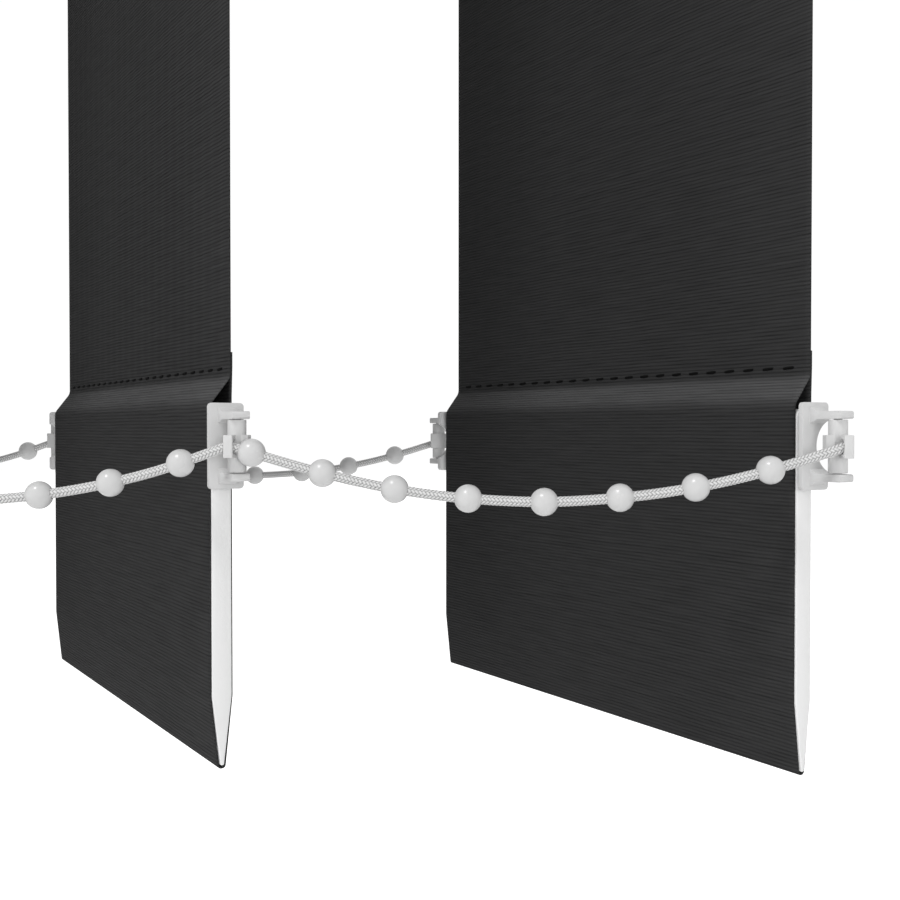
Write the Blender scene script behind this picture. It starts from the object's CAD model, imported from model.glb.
# %% [markdown]
# # A vertical blind, made in Blender around its CAD frame
# The frame holds the pieces at their real size and the joints between them. This script gives
# each piece the form and the finish that the eye sees: ribbed cloth slats with a sewn pocket,
# white weights, moulded clips, braided cords with glossy beads, and the track above them.

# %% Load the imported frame
import math

import bmesh
import bpy
from mathutils import Matrix, Vector


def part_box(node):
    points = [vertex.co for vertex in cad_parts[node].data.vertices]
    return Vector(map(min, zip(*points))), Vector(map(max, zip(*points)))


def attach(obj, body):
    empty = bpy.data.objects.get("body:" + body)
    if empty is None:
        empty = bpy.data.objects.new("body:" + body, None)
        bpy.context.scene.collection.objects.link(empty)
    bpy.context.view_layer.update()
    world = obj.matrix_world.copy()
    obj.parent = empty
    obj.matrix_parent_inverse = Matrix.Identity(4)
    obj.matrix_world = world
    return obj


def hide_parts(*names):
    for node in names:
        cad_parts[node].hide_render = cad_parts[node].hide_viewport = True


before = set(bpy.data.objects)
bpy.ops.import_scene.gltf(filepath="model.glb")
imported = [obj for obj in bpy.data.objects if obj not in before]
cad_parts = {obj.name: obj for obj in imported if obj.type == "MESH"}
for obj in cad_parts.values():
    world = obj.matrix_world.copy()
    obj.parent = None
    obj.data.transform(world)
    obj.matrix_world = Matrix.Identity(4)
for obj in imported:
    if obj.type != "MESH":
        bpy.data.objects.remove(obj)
SCENE = bpy.context.scene
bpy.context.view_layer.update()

# %% [markdown]
# The slats hang from stems, so the middle of a stem's box is the slat's pivot. Everything on
# a slat is modelled once in the slat's own axes: X along the slat's width, Y towards its
# back, Z up from its lower edge. One matrix for each slat then puts the piece in its place.

# %% Places read from the frame
MM = 0.001
SLATS = sum(name.startswith("bottom_weight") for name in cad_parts)
REST_ANGLE = math.radians(56.0)


def middle(node):
    low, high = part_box(node)
    return (low + high) / 2


def box_mm(node):
    """The two corners of a node's box, in millimetres."""
    return [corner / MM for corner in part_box(node)]


lower_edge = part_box("slat_1")[0].z
cloth_height = (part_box("slat_1")[1].z - lower_edge) / MM
pivots = [middle(f"stem_{k}").xy for k in range(1, SLATS + 1)]
slat_places = [
    Matrix.Translation((x, y, lower_edge)) @ Matrix.Rotation(-REST_ANGLE, 4, "Z") for x, y in pivots
]
print(SLATS, "slats,", round(cloth_height), "mm of hanging cloth")

# %% [markdown]
# Sizes in millimetres that several pieces share. The cloth wraps the weight with a little
# slip, and the clips and the cord are centred on the weight.

# %% Shared sizes
CLOTH = 0.2
SLAT_WIDTH = 89.0
WEIGHT_THICK = 2.8
WEIGHT_PROUD = 0.3
SLIP = 0.02
WEIGHT_MIDDLE = -(SLIP + WEIGHT_THICK / 2)
WEIGHT_END = SLAT_WIDTH / 2 + WEIGHT_PROUD
CLIP_LINE = 44.5
CLIP_MIDDLE = WEIGHT_MIDDLE + 0.14
PLATE_START = WEIGHT_END + 1.1
PLATE_THICK = 0.75
ARM_REACH = 5.05
PIN_FROM_TIP = 1.5
PIN_REACH = PLATE_START + PLATE_THICK + ARM_REACH - PIN_FROM_TIP

# %% [markdown]
# ## Helpers for meshes
# A bmesh is filled with operators and then becomes a piece. `piece` scales millimetres to
# metres, places the mesh, and says which body carries it and which CAD node it stands for.


# %% Turn a bmesh into a finished piece
DOUBLES = 0.0005


def smooth_by_angle(mesh, degrees):
    """Shade round faces smooth and leave the hard edges sharp."""
    shape = bmesh.new()
    shape.from_mesh(mesh)
    for face in shape.faces:
        face.smooth = True
    for edge in shape.edges:
        if len(edge.link_faces) == 2:
            edge.smooth = edge.calc_face_angle(0.0) < math.radians(degrees)
    shape.to_mesh(mesh)
    shape.free()


def piece(name, shape, material, body, nodes=(), place=Matrix(), sharp=40.0):
    """Write a bmesh in millimetres as an object in the row frame that rides on a body."""
    bmesh.ops.remove_doubles(shape, verts=shape.verts, dist=DOUBLES)
    bmesh.ops.recalc_face_normals(shape, faces=shape.faces)
    shape.transform(place @ Matrix.Scale(MM, 4))
    mesh = bpy.data.meshes.new(name)
    shape.to_mesh(mesh)
    shape.free()
    smooth_by_angle(mesh, sharp)
    thing = bpy.data.objects.new(name, mesh)
    SCENE.collection.objects.link(thing)
    mesh.materials.append(material)
    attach(thing, body)
    if nodes:
        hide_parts(*nodes)
    return thing


# %% [markdown]
# An outline starts as a few corners. Bevelling a vertex, not an edge, swaps the corner for an
# arc, which is how a rounded outline is made from few points. The cut that the bevel makes
# on each side of the corner is the arc's radius times the tangent of half the turn.


# %% Rounded outlines
def bevel(shape, geom, width, segments, affect):
    """Bevel vertices or edges to a round profile."""
    bmesh.ops.bevel(
        shape,
        geom=geom,
        offset=width,
        offset_type="OFFSET",
        segments=segments,
        profile=0.5,
        affect=affect,
        clamp_overlap=affect == "EDGES",
        material=-1,
    )


def round_corners(shape, corners, radii, segments=8):
    """Replace each vertex by an arc of its radius."""
    for vertex, radius in zip(corners, radii):
        if not radius:
            continue
        one, other = (edge.other_vert(vertex).co - vertex.co for edge in vertex.link_edges)
        turn = math.pi - one.angle(other)
        bevel(shape, [vertex], radius * math.tan(turn / 2), segments, "VERTICES")


def outline(corners, place, segments=8):
    """A filled outline from (across, up, radius) corners, which place turns into points."""
    shape = bmesh.new()
    verts = [shape.verts.new(place(across, up)) for across, up, _ in corners]
    shape.faces.new(verts)
    round_corners(shape, verts, [radius for _, _, radius in corners], segments)
    return shape


def thicken(shape, step):
    """Extrude a flat outline along a vector, into a closed solid."""
    grown = bmesh.ops.extrude_face_region(shape, geom=shape.faces[:])
    moved = [item for item in grown["geom"] if isinstance(item, bmesh.types.BMVert)]
    bmesh.ops.translate(shape, verts=moved, vec=step)
    # The extrusion may leave the side it started from open, so that side is filled
    rim = [edge for edge in shape.edges if edge.is_boundary]
    if rim:
        bmesh.ops.contextual_create(shape, geom=rim)
    bmesh.ops.recalc_face_normals(shape, faces=shape.faces)


def soften(shape, width, segments=2, angle=30.0, only=None):
    """Bevel the hard edges by a width."""
    edges = [
        edge
        for edge in shape.edges
        if len(edge.link_faces) == 2
        and edge.calc_face_angle(0.0) > math.radians(angle)
        and (only is None or only(edge))
    ]
    bevel(shape, edges, width, segments, "EDGES")


def add_box(shape, low, high):
    """A box between two corners, added to the shape."""
    low, high = Vector(low), Vector(high)
    size = Matrix.Diagonal((*(high - low), 1.0))
    bmesh.ops.create_cube(shape, size=1.0, matrix=Matrix.Translation((low + high) / 2) @ size)


def add_rod(shape, start, end, radius, end_radius=None, segments=32):
    """A round rod or cone between two points, added to the shape."""
    start, end = Vector(start), Vector(end)
    along = end - start
    turn = along.to_track_quat("Z", "Y").to_matrix().to_4x4()
    bmesh.ops.create_cone(
        shape,
        cap_ends=True,
        segments=segments,
        radius1=radius,
        radius2=radius if end_radius is None else end_radius,
        depth=along.length,
        matrix=Matrix.Translation((start + end) / 2) @ turn,
    )


def joined(*shapes):
    """Several bmeshes as one."""
    whole = bmesh.new()
    for shape in shapes:
        mesh = bpy.data.meshes.new("part")
        shape.to_mesh(mesh)
        shape.free()
        whole.from_mesh(mesh)
        bpy.data.meshes.remove(mesh)
    return whole


def combine(shape, tool, operation):
    """Join or subtract two bmeshes with an exact boolean."""
    things = []
    for name, solid in (("body", shape), ("tool", tool)):
        bmesh.ops.recalc_face_normals(solid, faces=solid.faces)
        mesh = bpy.data.meshes.new(name)
        solid.to_mesh(mesh)
        solid.free()
        thing = bpy.data.objects.new(name, mesh)
        SCENE.collection.objects.link(thing)
        things.append(thing)
    boolean = things[0].modifiers.new("boolean", "BOOLEAN")
    boolean.operation = operation
    boolean.solver = "EXACT"
    boolean.object = things[1]
    graph = bpy.context.evaluated_depsgraph_get()
    result = bpy.data.meshes.new_from_object(things[0].evaluated_get(graph))
    whole = bmesh.new()
    whole.from_mesh(result)
    bpy.data.meshes.remove(result)
    for thing in things:
        mesh = thing.data
        bpy.data.objects.remove(thing)
        bpy.data.meshes.remove(mesh)
    return whole


# %% [markdown]
# ## Finishes
# Two effects are used again and again, so each is a node group: slow changes of tone, as any
# real surface has, and the fine grain that a mould leaves on plastic.


# %% Helpers for materials
def new_group(name, inputs, outputs):
    group = bpy.data.node_groups.new(name, "ShaderNodeTree")
    for label, kind, value in inputs:
        socket = group.interface.new_socket(label, in_out="INPUT", socket_type=kind)
        if value is not None:
            socket.default_value = value
    for label, kind in outputs:
        group.interface.new_socket(label, in_out="OUTPUT", socket_type=kind)
    return group, group.nodes.new("NodeGroupInput"), group.nodes.new("NodeGroupOutput")


def add(tree, kind, links=(), **values):
    """Add a node, set its properties and inputs, and link sockets into it by input name or index."""
    node = tree.nodes.new(kind)
    for key, value in values.items():
        setattr(node, key, value)
    for target, source in links:
        if hasattr(source, "is_output"):
            tree.links.new(source, node.inputs[target])
        else:
            node.inputs[target].default_value = source
    return node


def math_node(tree, operation, first, second=None, third=None):
    values = [(i, v) for i, v in enumerate((first, second, third)) if v is not None]
    return add(tree, "ShaderNodeMath", values, operation=operation).outputs[0]


def new_material(name, color, roughness, **sockets):
    """A material with one Principled shader whose plain values sit on its own sockets."""
    material = bpy.data.materials.new(name)
    material.use_nodes = True
    tree = material.node_tree
    shader = next(node for node in tree.nodes if node.type == "BSDF_PRINCIPLED")
    shader.inputs["Base Color"].default_value = (*color, 1.0)
    shader.inputs["Roughness"].default_value = roughness
    for label, value in sockets.items():
        shader.inputs[label.replace("_", " ")].default_value = value
    return material, tree, shader


# %% Group: tone that drifts slowly over a surface
FLOAT = "NodeSocketFloat"
VECTOR = "NodeSocketVector"
COLOR = "NodeSocketColor"
tone, tone_in, tone_out = new_group(
    "drifting_tone",
    [
        ("Vector", VECTOR, None),
        ("Color", COLOR, (0.8, 0.8, 0.8, 1.0)),
        ("Patch Size", FLOAT, 60.0),
        ("Amount", FLOAT, 0.06),
    ],
    [("Color", COLOR), ("Mask", FLOAT)],
)
patches = add(
    tone,
    "ShaderNodeTexNoise",
    [("Vector", tone_in.outputs["Vector"]), ("Scale", tone_in.outputs["Patch Size"]), ("Detail", 3.0)],
)
swing = math_node(tone, "SUBTRACT", patches.outputs["Fac"], 0.5)
gain = math_node(tone, "MULTIPLY_ADD", swing, tone_in.outputs["Amount"], 1.0)
scaled = add(
    tone,
    "ShaderNodeVectorMath",
    [(0, tone_in.outputs["Color"]), ("Scale", gain)],
    operation="SCALE",
)
tone.links.new(scaled.outputs["Vector"], tone_out.inputs["Color"])
tone.links.new(patches.outputs["Fac"], tone_out.inputs["Mask"])

# %% Group: the fine grain of moulded plastic
grain, grain_in, grain_out = new_group(
    "mould_grain",
    [("Vector", VECTOR, None), ("Grain Scale", FLOAT, 2500.0), ("Depth", FLOAT, 0.02)],
    [("Normal", VECTOR), ("Rough", FLOAT)],
)
speck = add(
    grain,
    "ShaderNodeTexNoise",
    [("Vector", grain_in.outputs["Vector"]), ("Scale", grain_in.outputs["Grain Scale"]), ("Detail", 2.0)],
)
pits = add(
    grain,
    "ShaderNodeBump",
    [("Strength", grain_in.outputs["Depth"]), ("Distance", 0.0002), ("Height", speck.outputs["Fac"])],
)
grain.links.new(pits.outputs["Normal"], grain_out.inputs["Normal"])
grain.links.new(speck.outputs["Fac"], grain_out.inputs["Rough"])


# %% White plastics, painted track, steel and aluminium
def plastic(name, color, roughness, patch=60.0, amount=0.06, depth=0.15, **sockets):
    """Moulded plastic or paint: drifting tone, fine grain and a slightly uneven gloss."""
    material, tree, shader = new_material(name, color, roughness, **sockets)
    place = add(tree, "ShaderNodeTexCoord").outputs["Object"]
    drift = add(
        tree,
        "ShaderNodeGroup",
        [("Vector", place), ("Color", (*color, 1.0)), ("Patch Size", patch), ("Amount", amount)],
        node_tree=tone,
    )
    tree.links.new(drift.outputs["Color"], shader.inputs["Base Color"])
    skin = add(tree, "ShaderNodeGroup", [("Vector", place), ("Depth", depth)], node_tree=grain)
    tree.links.new(skin.outputs["Normal"], shader.inputs["Normal"])
    spread = add(
        tree,
        "ShaderNodeMapRange",
        [("Value", drift.outputs["Mask"]), ("To Min", roughness - 0.06), ("To Max", roughness + 0.08)],
    )
    tree.links.new(spread.outputs["Result"], shader.inputs["Roughness"])
    return material


CLIP_WHITE = plastic("clip_white", (0.6, 0.6, 0.6), 0.42, patch=220.0, amount=0.05)
WEIGHT_WHITE = plastic("weight_white", (0.77, 0.77, 0.77), 0.45, patch=50.0, amount=0.06)
BEAD_WHITE = plastic("bead_white", (0.58, 0.58, 0.58), 0.24, patch=300.0, amount=0.03, depth=0.03)
TRACK_WHITE = plastic("track_white", (0.62, 0.62, 0.61), 0.35, patch=20.0, amount=0.04, depth=0.2)
CAP_WHITE = plastic("cap_white", (0.57, 0.57, 0.56), 0.45, patch=60.0, amount=0.05)
GEAR_WHITE = plastic("gear_white", (0.58, 0.58, 0.55), 0.4, patch=120.0, amount=0.06)
WAND_WHITE = plastic("wand_white", (0.62, 0.62, 0.61), 0.18, patch=30.0, amount=0.04, depth=0.04)
STEEL = plastic("spring_steel", (0.55, 0.56, 0.57), 0.32, patch=90.0, amount=0.1, Metallic=1.0)
ROD_METAL = plastic("rod_metal", (0.68, 0.69, 0.70), 0.28, patch=70.0, amount=0.08, Metallic=1.0)

# %% [markdown]
# The slat's cloth is a polyester weave with a fine rib across the slat, stiffened with resin.
# Its pattern has to run over the fold of the pocket and follow the cloth, so it reads a UV map
# in metres: U across the slat and V along the strip. The crests of a wave along V make the
# ribs, and noise that is stretched along U bends them, breaks them and adds thicker threads.

# %% Cloth finish
RIB_PITCH = 0.00053
CLOTH_COLOR = (0.0302, 0.0302, 0.0307)
FOLD_GAIN = 1.3
cloth, cloth_in, cloth_out = new_group(
    "ribbed_cloth",
    [
        ("Vector", VECTOR, None),
        ("Rib Pitch", FLOAT, RIB_PITCH),
        ("Color", COLOR, (*CLOTH_COLOR, 1.0)),
        ("Fold Start", FLOAT, 0.109),
        ("Fold End", FLOAT, 0.114),
    ],
    [("Color", COLOR), ("Height", FLOAT), ("Rough", FLOAT)],
)
split = add(cloth, "ShaderNodeSeparateXYZ", [(0, cloth_in.outputs["Vector"])])
across, along = split.outputs["X"], split.outputs["Y"]


def cloth_noise(scale_across, scale_along, detail=2.0):
    """Noise with its own scale each way."""
    scaled_place = add(
        cloth,
        "ShaderNodeVectorMath",
        [(0, cloth_in.outputs["Vector"]), (1, (scale_across, scale_along, 1.0))],
        operation="MULTIPLY",
    )
    noise = add(
        cloth,
        "ShaderNodeTexNoise",
        [("Vector", scaled_place.outputs[0]), ("Scale", 1.0), ("Detail", detail)],
    )
    return math_node(cloth, "SUBTRACT", noise.outputs["Fac"], 0.5)


RIB_BEND = 0.7
RIB_STRENGTH, RIB_BREAKS = 0.7, 2.0
CREST_HEIGHT, CREST_MEAN = 2.0, 1.28
SLUB_HEIGHT = 0.7
RIB_LIGHT, SLUB_LIGHT, HAZE_LIGHT = 0.3, 0.4, 0.3
bend = cloth_noise(60.0, 200.0)
breaks = cloth_noise(200.0, 1800.0)
slubs = cloth_noise(110.0, 1500.0, 3.0)
haze = cloth_noise(12.0, 16.0)
ribs_along = math_node(cloth, "DIVIDE", along, cloth_in.outputs["Rib Pitch"])
bent = math_node(cloth, "MULTIPLY_ADD", bend, RIB_BEND, ribs_along)
phase = math_node(cloth, "MULTIPLY", bent, math.pi)
crown = math_node(cloth, "ABSOLUTE", math_node(cloth, "SINE", phase))
rib = math_node(cloth, "MULTIPLY_ADD", crown, CREST_HEIGHT, -CREST_MEAN)
rib_strength = math_node(cloth, "MULTIPLY_ADD", breaks, RIB_BREAKS, RIB_STRENGTH)
broken = math_node(cloth, "MULTIPLY", rib, rib_strength)
height = math_node(cloth, "MULTIPLY_ADD", slubs, SLUB_HEIGHT, broken)
cloth.links.new(height, cloth_out.inputs["Height"])
light = math_node(cloth, "MULTIPLY_ADD", height, RIB_LIGHT, 1.0)
light = math_node(cloth, "MULTIPLY_ADD", slubs, SLUB_LIGHT, light)
light = math_node(cloth, "MULTIPLY_ADD", haze, HAZE_LIGHT, light)


# Where the cloth is drawn over the weight's upper edge it is polished to a lighter band, which
# fades in over a few millimetres of cloth and fades out faster
def fade(distance, start, end):
    ramp = add(
        cloth,
        "ShaderNodeMapRange",
        [("Value", distance), ("From Min", start), ("From Max", end)],
        interpolation_type="SMOOTHSTEP",
    )
    return ramp.outputs["Result"]


from_start = math_node(cloth, "SUBTRACT", along, cloth_in.outputs["Fold Start"])
to_end = math_node(cloth, "SUBTRACT", cloth_in.outputs["Fold End"], along)
band = math_node(cloth, "MULTIPLY", fade(from_start, -0.0014, 0.0016), fade(to_end, -0.0002, 0.0012))
polish = math_node(cloth, "MULTIPLY_ADD", band, FOLD_GAIN, 1.0)
light = math_node(cloth, "MULTIPLY", light, polish)
cloth_color = add(
    cloth,
    "ShaderNodeVectorMath",
    [(0, cloth_in.outputs["Color"]), ("Scale", light)],
    operation="SCALE",
)
cloth.links.new(cloth_color.outputs["Vector"], cloth_out.inputs["Color"])
rough = math_node(cloth, "MULTIPLY_ADD", height, -0.05, 0.72)
cloth.links.new(rough, cloth_out.inputs["Rough"])

CHARCOAL, charcoal, charcoal_shader = new_material(
    "charcoal_cloth", CLOTH_COLOR, 0.7, Specular_IOR_Level=0.06, Sheen_Weight=0.0
)
cloth_map = add(charcoal, "ShaderNodeUVMap", uv_map="cloth").outputs["UV"]
weave = add(charcoal, "ShaderNodeGroup", [("Vector", cloth_map)], node_tree=cloth)
charcoal.links.new(weave.outputs["Color"], charcoal_shader.inputs["Base Color"])
charcoal.links.new(weave.outputs["Rough"], charcoal_shader.inputs["Roughness"])
ridges = add(
    charcoal,
    "ShaderNodeBump",
    [("Strength", 0.8), ("Distance", 0.00006), ("Height", weave.outputs["Height"])],
)
charcoal.links.new(ridges.outputs["Normal"], charcoal_shader.inputs["Normal"])
THREAD = plastic(
    "sewing_thread", (0.003, 0.003, 0.003), 0.8, patch=900.0, amount=0.3, Specular_IOR_Level=0.1
)

# %% [markdown]
# ## Cloth slats
# Each slat is one strip. Seen from its side it hangs straight, swells over the weight, comes
# round its tip and goes back up behind, where a seam holds it; the top hem is folded the same
# way round the hanger. So the side view is drawn as a line with rounded corners, the line is
# swept across the slat, and a Solidify modifier gives the strip its thickness.

# %% Side view of the cloth
SEAM = 55.4
BEND = 54.0
FLAP_TOP = 57.4
BACK_SHOULDER = 51.2
SHOULDER = 50.2
TAPER = 10.0
TIP_HALF = 0.45
HEM_HEIGHT = 24.0
HANGER_THICK = 1.2
half_cloth = CLOTH / 2
back_layer = half_cloth
front_layer = 2 * WEIGHT_MIDDLE - half_cloth
flap_layer = CLOTH + SLIP
hem_half = HANGER_THICK / 2 + SLIP + half_cloth
hem_start = cloth_height - HEM_HEIGHT
cloth_line = [
    (flap_layer, FLAP_TOP, 0),
    (flap_layer, SEAM, 4),
    (back_layer, BACK_SHOULDER, 4),
    (back_layer, TAPER, 4),
    (WEIGHT_MIDDLE + TIP_HALF, half_cloth, 0.4),
    (WEIGHT_MIDDLE - TIP_HALF, half_cloth, 0.4),
    (front_layer, TAPER, 4),
    (front_layer, SHOULDER, 1.8),
    (0.0, BEND, 1.8),
    (0.0, hem_start, 8),
    (-hem_half, hem_start + 5, 8),
    (-hem_half, cloth_height - half_cloth, 0.5),
    (hem_half, cloth_height - half_cloth, 0.5),
    (hem_half, hem_start + 5, 8),
    (flap_layer, hem_start, 8),
    (flap_layer, hem_start - 6, 0),
]

# %% Stitch places, shared by the cloth's dimples and the thread
STITCH_COUNT = 23
STITCH_LENGTH = 1.95
STITCH_LINE = SEAM - 0.2
THREAD_DEPTH = 0.15
THREAD_HEIGHT = 0.19
THREAD_SINK = 0.03
THREAD_TILT = 3.0
stitch_pitch = SLAT_WIDTH / (STITCH_COUNT + 1)
stitch_middles = [stitch_pitch * (i + 1) - SLAT_WIDTH / 2 for i in range(STITCH_COUNT)]


def dimple(x):
    """How deep the cloth is pulled in at x along the seam: 1 under a stitch, 0 between."""
    return 0.5 + 0.5 * math.cos(2 * math.pi * (x - stitch_middles[0]) / stitch_pitch)


# %% Make the strip
def cloth_strip():
    """The folded strip as an open surface, with a UV map in metres."""
    shape = bmesh.new()
    corners = [shape.verts.new((-SLAT_WIDTH / 2, y, z)) for y, z, _ in cloth_line]
    for one, other in zip(corners, corners[1:]):
        shape.edges.new((one, other))
    round_corners(shape, corners[1:-1], [radius for _, _, radius in cloth_line[1:-1]], segments=7)
    shape.verts.ensure_lookup_table()
    run = shape.verts.layers.float.new("run")
    # Walk the line from its free end and store how far along the strip each point is
    vertex = min((v for v in shape.verts if len(v.link_edges) == 1), key=lambda v: v.co.z)
    seen, length = {vertex}, 0.0
    while True:
        vertex[run] = length
        onward = [e for e in vertex.link_edges if e.other_vert(vertex) not in seen]
        if not onward:
            break
        length += onward[0].calc_length()
        vertex = onward[0].other_vert(vertex)
        seen.add(vertex)
    swept = bmesh.ops.extrude_edge_only(shape, edges=shape.edges[:])
    moved = [item for item in swept["geom"] if isinstance(item, bmesh.types.BMVert)]
    bmesh.ops.translate(shape, verts=moved, vec=(SLAT_WIDTH, 0, 0))
    across_edges = [e for e in shape.edges if abs(e.verts[0].co.x - e.verts[1].co.x) > 1]
    bmesh.ops.subdivide_edges(shape, edges=across_edges, cuts=4 * STITCH_COUNT + 3, use_grid_fill=True)
    return shape, run, length


strip, run_layer, strip_length = cloth_strip()
corner_runs = [0.0]
for (y0, z0, _), (y1, z1, _) in zip(cloth_line, cloth_line[1:]):
    corner_runs.append(corner_runs[-1] + math.dist((y0, z0), (y1, z1)))
weave.inputs["Fold Start"].default_value = corner_runs[7] * MM
weave.inputs["Fold End"].default_value = corner_runs[8] * MM
print("one strip of cloth is", round(strip_length, 1), "mm long")


# %% [markdown]
# The sewing thread pulls the cloth down under each stitch and lets it rise between them, so
# the layers near the seam are pushed apart a little where there is no stitch. A notch at the
# top of the hem lets the hanger's neck out.

# %% Finish the strip: relief at the seam, notch in the hem, UV map
NOTCH_HALF = 5.6
NOTCH_DEPTH = 6.0
SEAM_RELIEF = 0.10


def finish_strip(shape, run):
    for vertex in shape.verts:
        near_seam = max(0.0, 1.0 - abs(vertex.co.z - STITCH_LINE) / 3.0)
        side = -1.0 if vertex.co.y < 0.25 else 1.0
        vertex.co.y += side * SEAM_RELIEF * near_seam * (1.0 - dimple(vertex.co.x))
    floor = cloth_height - NOTCH_DEPTH
    for point, normal in (
        ((-NOTCH_HALF, 0, 0), (1, 0, 0)),
        ((NOTCH_HALF, 0, 0), (1, 0, 0)),
        ((0, 0, floor), (0, 0, 1)),
    ):
        top = [face for face in shape.faces if face.calc_center_median().z > hem_start + 4]
        geom = top + list({edge for face in top for edge in face.edges})
        geom += list({vertex for face in top for vertex in face.verts})
        bmesh.ops.bisect_plane(shape, geom=geom, dist=0.0001, plane_co=point, plane_no=normal)
    notch = [
        face
        for face in shape.faces
        if abs(face.calc_center_median().x) < NOTCH_HALF and face.calc_center_median().z > floor
    ]
    bmesh.ops.delete(shape, geom=notch, context="FACES")
    uv = shape.loops.layers.uv.new("cloth")
    for face in shape.faces:
        for loop in face.loops:
            loop[uv].uv = (loop.vert.co.x * MM, loop.vert[run] * MM)


finish_strip(strip, run_layer)
print(len(strip.faces), "faces in one layer of cloth")


# %% One row of stitches
def stitch_row(face_y, tilt):
    """Thread dashes that lie across the seam on one face of the cloth."""
    row, dash = bmesh.new(), bmesh.new()
    bmesh.ops.create_cone(dash, cap_ends=True, segments=8, radius1=1, radius2=1, depth=2)
    soften(dash, 0.45, 2, angle=60.0)
    dash.transform(Matrix.Rotation(math.radians(90), 4, "Y"))
    dash.transform(Matrix.Diagonal((STITCH_LENGTH / 2, THREAD_DEPTH, THREAD_HEIGHT, 1.0)))
    for x in stitch_middles:
        one = dash.copy()
        one.transform(
            Matrix.Translation((x, face_y, STITCH_LINE)) @ Matrix.Rotation(math.radians(tilt), 4, "Y")
        )
        row = joined(row, one)
    dash.free()
    return row


# %% Place cloth and thread on each slat
cloth_pieces = []
for k, place in enumerate(slat_places, 1):
    body = f"slat_{k}"
    sheet = piece(
        f"cloth_{k}", strip.copy(), CHARCOAL, body, (f"slat_{k}",), place, sharp=60.0
    )
    thickness = sheet.modifiers.new("thickness", "SOLIDIFY")
    thickness.thickness = CLOTH * MM
    thickness.offset = 0.0
    thickness.use_even_offset = True
    thread = piece(
        f"stitches_{k}",
        joined(
            stitch_row(-half_cloth - THREAD_SINK, -THREAD_TILT),
            stitch_row(flap_layer + half_cloth + THREAD_SINK, THREAD_TILT),
        ),
        THREAD,
        body,
        (),
        place,
        sharp=180.0,
    )
    cloth_pieces.append((sheet, thread))
strip.free()

# %% [markdown]
# ## Bottom weights
# The weight is an extruded strip of white plastic, tapered below so that it slips into the
# pocket. Its outline is drawn once, thickened along the slat, and its ends get a narrow bevel,
# which is what catches the light on the end that shows beside the cloth.

# %% Weights
WEIGHT_TOP = 49.5
WEIGHT_FOOT = 0.5
FOOT_HALF = 0.25
weight_half = WEIGHT_THICK / 2
weight_outline = [
    (weight_half, TAPER, 2.0),
    (FOOT_HALF, WEIGHT_FOOT, 0.2),
    (-FOOT_HALF, WEIGHT_FOOT, 0.2),
    (-weight_half, TAPER, 2.0),
    (-weight_half, WEIGHT_TOP, 1.1),
    (weight_half, WEIGHT_TOP, 1.1),
]
weight = outline(weight_outline, lambda y, z: (-WEIGHT_END, WEIGHT_MIDDLE + y, z))
thicken(weight, (2 * WEIGHT_END, 0, 0))
soften(weight, 0.14, 3, angle=50.0)
TONGUE = 8.0
TONGUE_HALF = 0.55
TONGUE_ROOM = 2.5
PLAY = 0.1
for side in (-1, 1):
    slot_end = side * WEIGHT_END
    pocket = bmesh.new()
    add_box(
        pocket,
        (slot_end - TONGUE - PLAY, CLIP_MIDDLE - TONGUE_HALF - PLAY, CLIP_LINE - TONGUE_ROOM - PLAY),
        (slot_end + TONGUE + PLAY, CLIP_MIDDLE + TONGUE_HALF + PLAY, CLIP_LINE + TONGUE_ROOM + PLAY),
    )
    weight = combine(weight, pocket, "DIFFERENCE")
for k, place in enumerate(slat_places, 1):
    node = f"bottom_weight_{k}"
    piece(node + "_strip", weight.copy(), WEIGHT_WHITE, f"slat_{k}", (node,), place)
weight.free()
print("weight from", WEIGHT_FOOT, "to", WEIGHT_TOP, "mm above the lower edge")

# %% [markdown]
# ## Clips
# A clip is one moulding: a plate with a waist on its window side, a tongue that snaps into the
# weight and two arms that hold the swivel's pins. The arms spread where they leave the plate,
# because a sharp inner corner would crack.

# %% Clip
PLATE_HEIGHT = 11.7
PLATE_CORNER = 0.55
PLATE_ROOM = 2.6
PLATE_BACK = 2.38
FOOT_ROOM = 1.26
FOOT_BACK = 0.08
FOOT_HEIGHT = 10.0
OVERLAP = 0.2
WAIST_HEIGHT = 6.8
WAIST_DEPTH = 2.3
ARM_WIDTH = 2.5
ARM_THICK = 1.05
ARM_OPENING = 7.2
ARM_FLARE = 0.55
PIN_HOLE = 0.6


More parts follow.
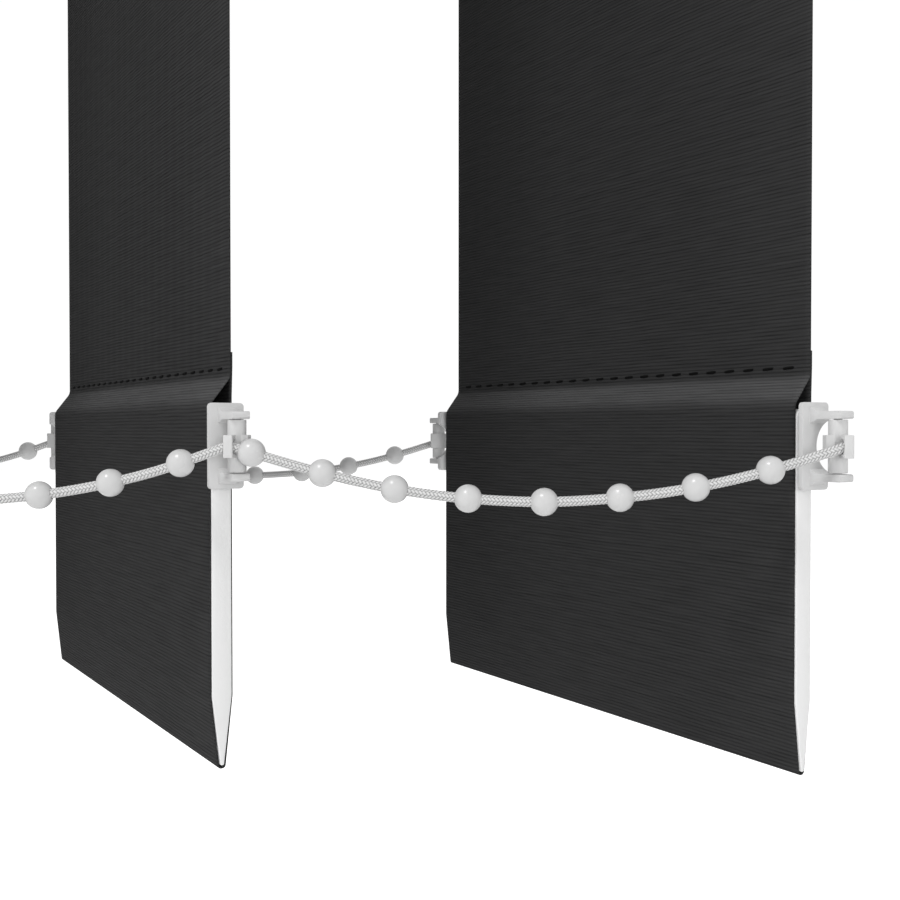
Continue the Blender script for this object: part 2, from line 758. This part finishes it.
def clip_plate():
    """The plate with its waist, the foot that meets the weight and the tongue inside it."""
    plate_x = PLATE_START
    low, high = CLIP_MIDDLE - PLATE_ROOM, CLIP_MIDDLE + PLATE_BACK
    half = PLATE_HEIGHT / 2
    around = [(low, -half), (high, -half), (high, half), (low, half)]
    corners = [(y, z, PLATE_CORNER) for y, z in around]
    plate = outline(corners, lambda y, z: (plate_x, y, CLIP_LINE + z))
    thicken(plate, (PLATE_THICK, 0, 0))
    # The waist is the part of a round bar that reaches into the plate's window side
    waist_radius = (WAIST_HEIGHT**2 / 4 + WAIST_DEPTH**2) / (2 * WAIST_DEPTH)
    bar = bmesh.new()
    bar_y = high + waist_radius - WAIST_DEPTH
    bar_ends = ((x, bar_y, CLIP_LINE) for x in (plate_x - 1, plate_x + 2))
    add_rod(bar, *bar_ends, waist_radius, segments=64)
    plate = combine(plate, bar, "DIFFERENCE")
    soften(plate, 0.17, 3, angle=40.0)
    foot = bmesh.new()
    add_box(
        foot,
        (WEIGHT_END, CLIP_MIDDLE - FOOT_ROOM, CLIP_LINE - FOOT_HEIGHT / 2),
        (plate_x + OVERLAP, CLIP_MIDDLE + FOOT_BACK, CLIP_LINE + FOOT_HEIGHT / 2),
    )
    plate = combine(plate, foot, "UNION")
    tongue = bmesh.new()
    add_box(
        tongue,
        (WEIGHT_END - TONGUE, CLIP_MIDDLE - TONGUE_HALF, CLIP_LINE - TONGUE_ROOM),
        (plate_x + OVERLAP, CLIP_MIDDLE + TONGUE_HALF, CLIP_LINE + TONGUE_ROOM),
    )
    soften(tongue, 0.15)
    return combine(plate, tongue, "UNION")


# %% One arm of the clip
ARM_ROOT = 0.3


def clip_arm(side):
    """The upper (1) or lower (-1) arm: it spreads at its root and has a hole for the pin."""
    middle_z = CLIP_LINE + side * (ARM_OPENING + ARM_THICK) / 2
    arm_y = CLIP_MIDDLE - ARM_WIDTH / 2
    wall = PLATE_START + PLATE_THICK
    tip = wall + ARM_REACH
    thick = ARM_THICK / 2
    half_arm = [
        (wall - ARM_ROOT, thick + ARM_FLARE, 0),
        (wall, thick + ARM_FLARE, 0),
        (wall + 2 * ARM_FLARE, thick, 1.2),
        (tip, thick, 0.32),
    ]
    section = [(x, middle_z - z, r) for x, z, r in half_arm]
    section += [(x, middle_z + z, r) for x, z, r in reversed(half_arm)]
    arm = outline(section, lambda x, z: (x, arm_y, z), segments=5)
    thicken(arm, (0, ARM_WIDTH, 0))

    def upright_at_tip(edge):
        one, other = (vertex.co for vertex in edge.verts)
        return min(one.x, other.x) > tip - 0.01 and abs(one.z - other.z) > 0.2

    # Round the tip as seen from above, and take the arris off the rest
    soften(arm, 0.5, 4, only=upright_at_tip)
    soften(arm, 0.12, 2, angle=50.0)
    hole = bmesh.new()
    through = Vector((0, 0, 2))
    pin = Vector((PIN_REACH, CLIP_MIDDLE, middle_z))
    add_rod(hole, pin - through, pin + through, PIN_HOLE)
    return combine(arm, hole, "DIFFERENCE")


# %% Join the clip and place two on each slat
clip = clip_plate()
for side in (-1, 1):
    clip = combine(clip, clip_arm(side), "UNION")
about_clip = (
    Matrix.Translation((0, CLIP_MIDDLE * MM, 0))
    @ Matrix.Rotation(math.pi, 4, "Z")
    @ Matrix.Translation((0, -CLIP_MIDDLE * MM, 0))
)
for k, place in enumerate(slat_places, 1):
    for end, turn in (("front", Matrix()), ("rear", about_clip)):
        node, body = f"{end}_clip_{k}", f"slat_{k}"
        piece(node + "_moulding", clip.copy(), CLIP_WHITE, body, (node,), place @ turn)
clip.free()
print("arms reach", ARM_REACH, "mm past the plate")

# %% [markdown]
# ## Swivels
# Each swivel turns between a clip's arms. A barrel with a small pin at each end carries a block,
# and the block's jaw holds the cord in a hole that widens to both sides, so that the cord can
# leave at a slope. The sharpest way to get that hole is to subtract two cones.

# %% Swivel
BARREL_RADIUS = 1.25
BARREL_HALF = ARM_OPENING / 2 - 0.1
PIN_RADIUS = 0.55
PIN_LENGTH = 0.7
BLOCK_HALF = 1.6
BLOCK_HEIGHT = 3.0
CORD_OFFSET = 2.1
THROAT = 0.82
MOUTH = 1.04
JAW = (-1.15, 0.1)


def make_swivel():
    jaw_left, jaw_right = JAW
    plan = [
        (-BLOCK_HALF, BLOCK_HALF, 0.25),
        (BLOCK_HALF, BLOCK_HALF, 0.25),
        (BLOCK_HALF, -0.3, 0.2),
        (0.9, -0.95, 0.2),
        (jaw_right, -1.15, 0.1),
        (jaw_right, -3.25, 0.2),
        (jaw_left, -3.25, 0.2),
        (jaw_left, -1.4, 0.1),
        (-BLOCK_HALF, -1.0, 0.2),
    ]
    block = outline(plan, lambda x, y: (x, y, -BLOCK_HEIGHT / 2), segments=4)
    thicken(block, (0, 0, BLOCK_HEIGHT))
    soften(block, 0.13, 2, angle=60.0)
    barrel = bmesh.new()
    add_rod(barrel, (0, 0, -BARREL_HALF), (0, 0, BARREL_HALF), BARREL_RADIUS, segments=48)
    soften(barrel, 0.08, 2, angle=60.0)
    pins = bmesh.new()
    pin_end = BARREL_HALF + PIN_LENGTH
    add_rod(pins, (0, 0, -pin_end), (0, 0, pin_end), PIN_RADIUS, segments=24)
    soften(pins, 0.1, 2, angle=60.0)
    swivel = combine(combine(block, barrel, "UNION"), pins, "UNION")
    jaw_middle = (jaw_left + jaw_right) / 2
    reach = (jaw_right - jaw_left) / 2
    flare = (MOUTH - THROAT) / reach
    for side in (-1, 1):
        cone = bmesh.new()
        far = reach + 0.6
        add_rod(
            cone,
            (jaw_middle - side * 0.001, -CORD_OFFSET, 0),
            (jaw_middle + side * far, -CORD_OFFSET, 0),
            THROAT,
            THROAT + flare * far,
        )
        swivel = combine(swivel, cone, "DIFFERENCE")
    return swivel


def pin_place(k, side):
    """The pin's point in the row frame, from the slat's own axes, in metres."""
    local = Vector((side * PIN_REACH, CLIP_MIDDLE, CLIP_LINE)) * MM
    return slat_places[k - 1] @ local


swivel = make_swivel()
HALF_TURN = math.pi
for k in range(1, SLATS + 1):
    for end, side in (("front", 1), ("rear", -1)):
        if k == SLATS:
            axis = "Y" if side == 1 else "Z"
        else:
            axis = None if side == 1 else "X"
        turn = Matrix.Rotation(HALF_TURN, 4, axis) if axis else Matrix()
        place = Matrix.Translation(pin_place(k, side)) @ turn
        node = f"{end}_swivel_{k}"
        piece(node + "_moulding", swivel.copy(), CLIP_WHITE, node, (node,), place)
swivel.free()

# %% [markdown]
# ## Cords
# Two braided cords link the slats' ends. Each hangs in a curve between two jaws and is stiff
# enough to keep it, so a span is two halves that meet inside a bead. Their lines are NURBS
# splines through few control points, measured from the pin at that end: along the track, and
# up from the clips' middle. The braid and the beads follow points read from the spline.

# %% Routes of the cords, in millimetres from the pins
MIDDLE_LEFT = [(-0.25, 0), (9.4, -3.0), (19.1, -5.4), (28.8, -6.8), (38.5, -7.25), (43.2, -7.2)]
MIDDLE_RIGHT = [(-35.6, -7.2), (-30.9, -7.05), (-21.2, -5.85), (-11.6, -3.75), (-5.0, -1.5), (-0.85, 0)]
LAST_LEFT = [(-0.25, 0), (7.1, -2.3), (16.6, -4.75), (26.1, -6.4), (35.7, -7.15), (40.5, -7.2)]
LAST_RIGHT = [(-38.3, -7.2), (-33.6, -7.1), (-23.9, -6.2), (-14.3, -4.45), (-4.7, -1.75), (0.4, 0)]
CORD_RADIUS = 0.68
BEAD_RADIUS = 1.85
BEAD_BORE = 0.72
BEAD_PITCH = 9.7
LAST_PITCH = 9.83


def spline_points(route):
    """Points along the smooth line of a NURBS spline."""
    curve = bpy.data.curves.new("route", "CURVE")
    curve.dimensions = "3D"
    curve.resolution_u = 40
    spline = curve.splines.new("NURBS")
    spline.points.add(len(route) - 1)
    for control, point in zip(spline.points, route):
        control.co = (*point, 1.0)
    spline.order_u = 3
    spline.use_endpoint_u = True
    thing = bpy.data.objects.new("route", curve)
    mesh = bpy.data.meshes.new_from_object(thing)
    points = [vertex.co.copy() for vertex in mesh.vertices]
    bpy.data.objects.remove(thing)
    bpy.data.meshes.remove(mesh)
    bpy.data.curves.remove(curve)
    return points


class Line:
    """A line of points that can be asked for the point and the direction at a share of it."""

    def __init__(self, points):
        self.points = points
        self.run = [0.0]
        for one, other in zip(points, points[1:]):
            self.run.append(self.run[-1] + (other - one).length)
        self.length = self.run[-1]

    def at(self, share):
        distance = min(max(share, 0.0), 1.0) * self.length
        i = 0
        while i < len(self.run) - 2 and self.run[i + 1] < distance:
            i += 1
        one, other = self.points[i], self.points[i + 1]
        part = (distance - self.run[i]) / (self.run[i + 1] - self.run[i])
        return one.lerp(other, part), (other - one).normalized()


# %% [markdown]
# The braid has eight strands each way round, and each goes over two and under two. Where a
# strand is on top it is highest along its middle, and it dips where it goes under. That height
# is worked out for each point of a straight tube, which is then bent onto the cord's line. The
# same height is kept as an attribute, so the material can darken the gaps between strands.

# %% Braid
STRANDS = 8
STRAND_STEP = 0.5
BRAID_DEPTH = 0.11
AROUND = 40
RING_STEP = 0.12


def braid_height(turn, along):
    """1 on the crown of a strand, 0 in a gap; turn is from 0 to 1, along in millimetres."""
    one = STRANDS * turn + along / STRAND_STEP
    other = STRANDS * turn - along / STRAND_STEP
    row = (math.floor(one) + math.floor(other)) % 4
    across, onward = (one, other) if row < 2 else (other, one)
    crown = math.sin(math.pi * (across % 1.0))
    rise = math.sin(math.pi * ((onward % 1.0) + row % 2) / 2)
    return max(crown, 0.0) ** 0.6 * max(rise, 0.0) ** 0.35


def braided_tube(line):
    """A straight tube, pressed into a braid and bent onto a line in a plane across the room."""
    tube = bmesh.new()
    bmesh.ops.create_cone(tube, cap_ends=True, segments=AROUND, radius1=1, radius2=1, depth=1)
    long_edges = [edge for edge in tube.edges if abs(edge.verts[0].co.z - edge.verts[1].co.z) > 0.5]
    rings = round(line.length / RING_STEP)
    bmesh.ops.subdivide_edges(tube, edges=long_edges, cuts=rings - 1)
    groove = tube.verts.layers.float.new("braid")
    for vertex in tube.verts:
        share = vertex.co.z + 0.5
        angle = math.atan2(vertex.co.y, vertex.co.x)
        height = braid_height(angle / (2 * math.pi), share * line.length)
        vertex[groove] = height
        point, direction = line.at(share)
        side = Vector((0, 1, 0))
        up = direction.cross(side)
        radius = CORD_RADIUS - BRAID_DEPTH * (1 - height)
        vertex.co = point + (side * math.cos(angle) + up * math.sin(angle)) * radius
    return tube


def bead_ball():
    """A ball with a bore along Z whose rims are a little rounded."""
    ball = bmesh.new()
    bmesh.ops.create_uvsphere(ball, u_segments=40, v_segments=24, radius=BEAD_RADIUS)
    face_z = math.sqrt(BEAD_RADIUS**2 - BEAD_BORE**2)
    for side in (-1, 1):
        bmesh.ops.bisect_plane(
            ball,
            geom=ball.verts[:] + ball.edges[:] + ball.faces[:],
            dist=0.0001,
            plane_co=(0, 0, side * face_z),
            plane_no=(0, 0, side),
            clear_outer=True,
        )
    rims = [edge for edge in ball.edges if edge.is_boundary]
    bmesh.ops.bridge_loops(ball, edges=rims)
    return ball


# %% Cord and bead materials
CORD_WHITE, cord_tree, cord_shader = new_material("cord_braid", (0.6, 0.6, 0.6), 0.62, Sheen_Weight=0.2)
strand = add(cord_tree, "ShaderNodeAttribute", attribute_name="braid")
fibre_place = add(cord_tree, "ShaderNodeTexCoord").outputs["Object"]
fibre_links = [("Vector", fibre_place), ("Scale", 5200.0), ("Detail", 2.0)]
fibre = add(cord_tree, "ShaderNodeTexNoise", fibre_links)
shade = add(cord_tree, "ShaderNodeValToRGB", [("Fac", strand.outputs["Fac"])])
shade.color_ramp.elements[0].position = 0.25
shade.color_ramp.elements[0].color = (0.2, 0.2, 0.2, 1)
shade.color_ramp.elements[1].position = 0.72
shade.color_ramp.elements[1].color = (0.66, 0.66, 0.66, 1)
cord_drift = add(
    cord_tree,
    "ShaderNodeGroup",
    [("Vector", fibre_place), ("Color", shade.outputs["Color"]), ("Patch Size", 1400.0), ("Amount", 0.25)],
    node_tree=tone,
)
cord_tree.links.new(cord_drift.outputs["Color"], cord_shader.inputs["Base Color"])
fuzz = add(
    cord_tree,
    "ShaderNodeBump",
    [("Strength", 0.35), ("Distance", 0.00004), ("Height", fibre.outputs["Fac"])],
)
cord_tree.links.new(fuzz.outputs["Normal"], cord_shader.inputs["Normal"])

# %% Make the spans
BEADS = 4
BEADS_BY_CLIP = 3
for span in range(1, SLATS):
    last = span == SLATS - 1
    for side, end in ((1, "front"), (-1, "rear")):
        for half, k, route in (
            ("left", span, LAST_LEFT if last else MIDDLE_LEFT),
            ("right", span + 1, LAST_RIGHT if last else MIDDLE_RIGHT),
        ):
            pin = pin_place(k, side) / MM
            line_y = pin.y - side * CORD_OFFSET
            line = Line(spline_points([(pin.x + x, line_y, pin.z + z) for x, z in route]))
            body = f"{end}_span_{span}_{half}"
            cord = piece(
                f"{body}_braid",
                braided_tube(line),
                CORD_WHITE,
                body,
                (f"{end}_cord_{span}_{half}",),
                sharp=180.0,
            )
            # The bead over the meeting point belongs to the right half
            if half == "left":
                count = BEADS if last else BEADS_BY_CLIP
                shares = [1 - BEAD_PITCH * (i + 1) / line.length for i in range(count)]
            else:
                shares = [(LAST_PITCH if last else BEAD_PITCH) * i / line.length for i in range(BEADS)]
            balls = bmesh.new()
            ball = bead_ball()
            for share in shares:
                point, direction = line.at(share)
                turn = direction.to_track_quat("Z", "Y").to_matrix().to_4x4()
                one = ball.copy()
                one.transform(Matrix.Translation(point) @ turn)
                balls = joined(balls, one)
            ball.free()
            beads = piece(
                f"{body}_balls",
                balls,
                BEAD_WHITE,
                body,
                (f"{end}_beads_{span}_{half}",),
                sharp=50.0,
            )
            print(body, round(line.length, 1), "mm,", len(shares), "beads")

# %% [markdown]
# ## Track
# The headrail is an extrusion, so its section is drawn as one outline round the metal, with
# the slot below and a groove in each side for the brackets' claws, and thickened along X.

# %% Headrail
rail_low, rail_high = box_mm("headrail")
RAIL_WALL = 1.4
SLOT_HALF = 8.0
GROOVE_DEPTH = 0.7
half_y = rail_high.y
floor_z, roof_z = rail_low.z, rail_high.z
groove_top = roof_z - 5.5
groove_low = groove_top - 2.4
right_side = [
    (SLOT_HALF, floor_z, 0.3),
    (half_y, floor_z, 1.0),
    (half_y, groove_low, 0.15),
    (half_y - GROOVE_DEPTH, groove_low, 0.15),
    (half_y - GROOVE_DEPTH, groove_top, 0.15),
    (half_y, groove_top, 0.15),
    (half_y, roof_z, 1.0),
]
inner_right = [
    (half_y - RAIL_WALL, roof_z - RAIL_WALL, 0.5),
    (half_y - RAIL_WALL, floor_z + RAIL_WALL, 0.5),
    (SLOT_HALF, floor_z + RAIL_WALL, 0.3),
]
left_side = [(-y, z, r) for y, z, r in reversed(right_side)]
inner_left = [(-y, z, r) for y, z, r in reversed(inner_right)]
section = right_side + left_side + inner_left + inner_right
rail = outline(section, lambda y, z: (rail_low.x, y, z), segments=5)
thicken(rail, (rail_high.x - rail_low.x, 0, 0))
piece("headrail_extrusion", rail, TRACK_WHITE, "track", ("headrail",))
print("rail", round(rail_high.x - rail_low.x), "mm long")

# %% [markdown]
# Each end cap is a rounded cover with a plug inside the rail and a blind bore for the rod.

# %% End caps
COVER_THICK = 2.5
COVER_CORNER = 1.5
PLUG_LENGTH = 5.0
PLUG_INSET = 1.5
BORE_PLACE = (-5.5, -13.5)
BORE_RADIUS = 1.8
for side, name in ((-1, "left"), (1, "right")):
    low, high = box_mm(f"end_cap_{name}")
    outer = high.x if side > 0 else low.x
    cover_start = outer - side * COVER_THICK
    around = [(-half_y, floor_z), (half_y, floor_z), (half_y, roof_z), (-half_y, roof_z)]
    corners = [(y, z, COVER_CORNER) for y, z in around]
    cover = outline(corners, lambda y, z: (cover_start, y, z))
    thicken(cover, (side * COVER_THICK, 0, 0))
    soften(cover, 0.6, 4, angle=50.0, only=lambda e: all(abs(v.co.x - outer) < 0.01 for v in e.verts))
    plug = bmesh.new()
    inner = sorted((cover_start - side * PLUG_LENGTH, cover_start + side * 0.5))
    add_box(
        plug,
        (inner[0], -half_y + PLUG_INSET, floor_z + PLUG_INSET),
        (inner[1], half_y - PLUG_INSET, roof_z - PLUG_INSET),
    )
    soften(plug, 0.3)
    cap = combine(cover, plug, "UNION")
    bore = bmesh.new()
    add_rod(bore, (cover_start - side * 9, *BORE_PLACE), (cover_start, *BORE_PLACE), BORE_RADIUS)
    cap = combine(cap, bore, "DIFFERENCE")
    piece(f"end_cap_{name}_moulding", cap, CAP_WHITE, "track", (f"end_cap_{name}",))

# %% [markdown]
# A bracket is a bent strip of spring steel: a plate under the ceiling, two claws, and a hook on
# each claw that snaps into the rail's groove. It is one outline, thickened along the track.

# %% Brackets
CLAW_GAP = 0.05
HOOK_REACH = 0.6
HOOK_PLAY = 0.2
SCREW_HOLE = 2.2
for name in ("left", "right"):
    low, high = box_mm(f"ceiling_bracket_{name}")
    claw_in = half_y + CLAW_GAP
    hook_in = half_y - HOOK_REACH
    hook_low, hook_top = groove_low + HOOK_PLAY, groove_top - HOOK_PLAY
    right_half = [
        (claw_in, roof_z, 0.4),
        (claw_in, hook_top, 0),
        (hook_in, hook_top, 0.2),
        (hook_in, hook_low, 0.2),
        (claw_in, hook_low, 0),
        (claw_in, low.z, 0.2),
        (high.y, low.z, 0.5),
        (high.y, high.z, 1.4),
    ]
    section = right_half + [(-y, z, r) for y, z, r in reversed(right_half)]
    strap = outline(section, lambda y, z: (low.x, y, z), segments=5)
    thicken(strap, (high.x - low.x, 0, 0))
    hole_x = (low.x + high.x) / 2
    hole = bmesh.new()
    add_rod(hole, (hole_x, 0, -3), (hole_x, 0, 1), SCREW_HOLE)
    strap = combine(strap, hole, "DIFFERENCE")
    soften(strap, 0.12, 2, angle=50.0)
    node = f"ceiling_bracket_{name}"
    piece(node + "_strap", strap, STEEL, "track", (node,))

# %% [markdown]
# ## Wand
# The wand is turned about its own axis: half of its outline, spun once round. The grip has
# shallow rings so that fingers can roll it.

# %% Wand
wand_low, wand_high = box_mm("wand")
wand_x, wand_y = ((wand_low + wand_high) / 2).xy
GRIP_RADIUS = 4.4
GRIP_LENGTH = 38.0
SOCKET_RADIUS = 2.02
COLLAR_RADIUS = 4.2
COLLAR_LENGTH = 16.0
STICK_RADIUS = 3.4
RINGS = 7
RING_PITCH = 4.2
RING_DEPTH = 0.35
top, foot = wand_high.z, wand_low.z
shaft_end = box_mm("wand_shaft")[0].z
grip_top = foot + GRIP_LENGTH
half_outline = [
    (0.0, shaft_end, 0),
    (SOCKET_RADIUS, shaft_end, 0),
    (SOCKET_RADIUS, top, 0),
    (COLLAR_RADIUS, top, 0.7),
    (COLLAR_RADIUS, top - COLLAR_LENGTH, 1.0),
    (STICK_RADIUS, top - COLLAR_LENGTH - 3.0, 3.0),
    (STICK_RADIUS, grip_top + 4.0, 3.0),
    (GRIP_RADIUS, grip_top, 3.0),
]
for i in range(RINGS):
    ring_z = grip_top - 4.0 - RING_PITCH * i
    half_outline += [
        (GRIP_RADIUS, ring_z, 0.3),
        (GRIP_RADIUS - RING_DEPTH, ring_z - 0.6, 0.3),
        (GRIP_RADIUS - RING_DEPTH, ring_z - 1.2, 0.3),
        (GRIP_RADIUS, ring_z - 1.8, 0.3),
    ]
half_outline += [(GRIP_RADIUS, foot, 1.6), (0.0, foot, 0)]
wand = bmesh.new()
line_points = [wand.verts.new((wand_x + r, wand_y, z)) for r, z, _ in half_outline]
for one, other in zip(line_points, line_points[1:]):
    wand.edges.new((one, other))
round_corners(wand, line_points[1:-1], [radius for _, _, radius in half_outline[1:-1]], segments=4)
bmesh.ops.spin(
    wand,
    geom=wand.verts[:] + wand.edges[:],
    cent=(wand_x, wand_y, 0),
    axis=(0, 0, 1),
    angle=2 * math.pi,
    steps=48,
    use_merge=True,
)
piece("wand_stick", wand, WAND_WHITE, "wand", ("wand",), sharp=50.0)

# %% [markdown]
# ## Parts that keep their CAD form
# The carriers, gears, stems and hangers are plain mouldings inside or just under the track.
# Their CAD meshes are exact, so they stay, and only take a finish.


# %% Finish for the carried-over nodes
def dress(node, material):
    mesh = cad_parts[node].data
    mesh.materials.clear()
    mesh.materials.append(material)


CARRIER_WHITE = plastic("carrier_white", (0.76, 0.76, 0.75), 0.4, patch=90.0, amount=0.06)
HANGER_WHITE = plastic("hanger_white", (0.74, 0.74, 0.73), 0.45, patch=60.0, amount=0.06)
for k in range(1, SLATS + 1):
    dress(f"carrier_{k}", CARRIER_WHITE)
    dress(f"worm_{k}", GEAR_WHITE)
    dress(f"stem_{k}", GEAR_WHITE)
    dress(f"hanger_{k}", HANGER_WHITE)
for k in range(1, SLATS):
    dress(f"spacer_link_{k}", STEEL)
dress("tilt_rod", ROD_METAL)
dress("rod_gear", GEAR_WHITE)
dress("wand_shaft", GEAR_WHITE)

# %% [markdown]
# ## Stage, light and camera
# A pale floor below, an even white sky and large soft lamps. The sky that the camera sees
# is brighter than the one that lights the blind, which keeps the shaded sides from washing out.

# %% Floor and world
FLOOR_GLOW = 0.7
FLOOR_HEIGHT = -1.0
LIGHTING = 0.62
SKY_SEEN = 1.02
floor_material = plastic("floor_white", (0.9, 0.9, 0.9), 0.8, patch=2.0, amount=0.01, depth=0.0)
floor_shader = next(node for node in floor_material.node_tree.nodes if node.type == "BSDF_PRINCIPLED")
floor_shader.inputs["Emission Color"].default_value = (1, 1, 1, 1)
floor_ray = add(floor_material.node_tree, "ShaderNodeLightPath")
glow = math_node(floor_material.node_tree, "MULTIPLY", floor_ray.outputs["Is Camera Ray"], FLOOR_GLOW)
floor_material.node_tree.links.new(glow, floor_shader.inputs["Emission Strength"])
floor_shape = bmesh.new()
bmesh.ops.create_grid(floor_shape, x_segments=1, y_segments=1, size=12.0)
bmesh.ops.translate(floor_shape, verts=floor_shape.verts, vec=(0, 0, FLOOR_HEIGHT))
floor_mesh = bpy.data.meshes.new("floor")
floor_shape.to_mesh(floor_mesh)
floor_shape.free()
floor_mesh.materials.append(floor_material)
floor = bpy.data.objects.new("floor", floor_mesh)
SCENE.collection.objects.link(floor)

world = bpy.data.worlds.new("studio")
SCENE.world = world
world.use_nodes = True
sky = world.node_tree
background = next(node for node in sky.nodes if node.type == "BACKGROUND")
ray = add(sky, "ShaderNodeLightPath")
strength = math_node(sky, "MULTIPLY_ADD", ray.outputs["Is Camera Ray"], SKY_SEEN - LIGHTING, LIGHTING)
background.inputs["Color"].default_value = (1, 1, 1, 1)
sky.links.new(strength, background.inputs["Strength"])


# %% Lamps
def lamp(name, place, target, size, power, glossy=True):
    light = bpy.data.lights.new(name, "AREA")
    light.shape = "DISK"
    light.size = size
    light.energy = power
    thing = bpy.data.objects.new(name, light)
    thing.location = place
    thing.rotation_euler = (Vector(target) - Vector(place)).to_track_quat("-Z", "Y").to_euler()
    thing.visible_glossy = glossy
    SCENE.collection.objects.link(thing)


aim = (0.0, 0.0, -0.5)
lamp("key", (-0.45, -0.75, 0.72), aim, 0.4, 9.0)
lamp("fill", (0.36, -0.95, -0.48), aim, 0.4, 2.9, glossy=False)
lamp("back", (0.3, 1.3, 0.1), aim, 0.8, 5.0, glossy=False)
lamp("side", (-1.1, -0.15, -0.45), aim, 0.4, 2.6, glossy=False)

# %% Camera
camera_data = bpy.data.cameras.new("camera")
camera_data.sensor_width = 36.0
camera_data.lens = 46.2
camera_data.clip_start = 0.01
camera = bpy.data.objects.new("camera", camera_data)
camera.location = (0.06124, -0.19480, -0.5534)
camera.rotation_euler = (math.radians(90 - 0.97), 0.0, math.radians(2.204))
SCENE.collection.objects.link(camera)
bpy.context.scene.camera = camera
SCENE.view_settings.view_transform = "Standard"
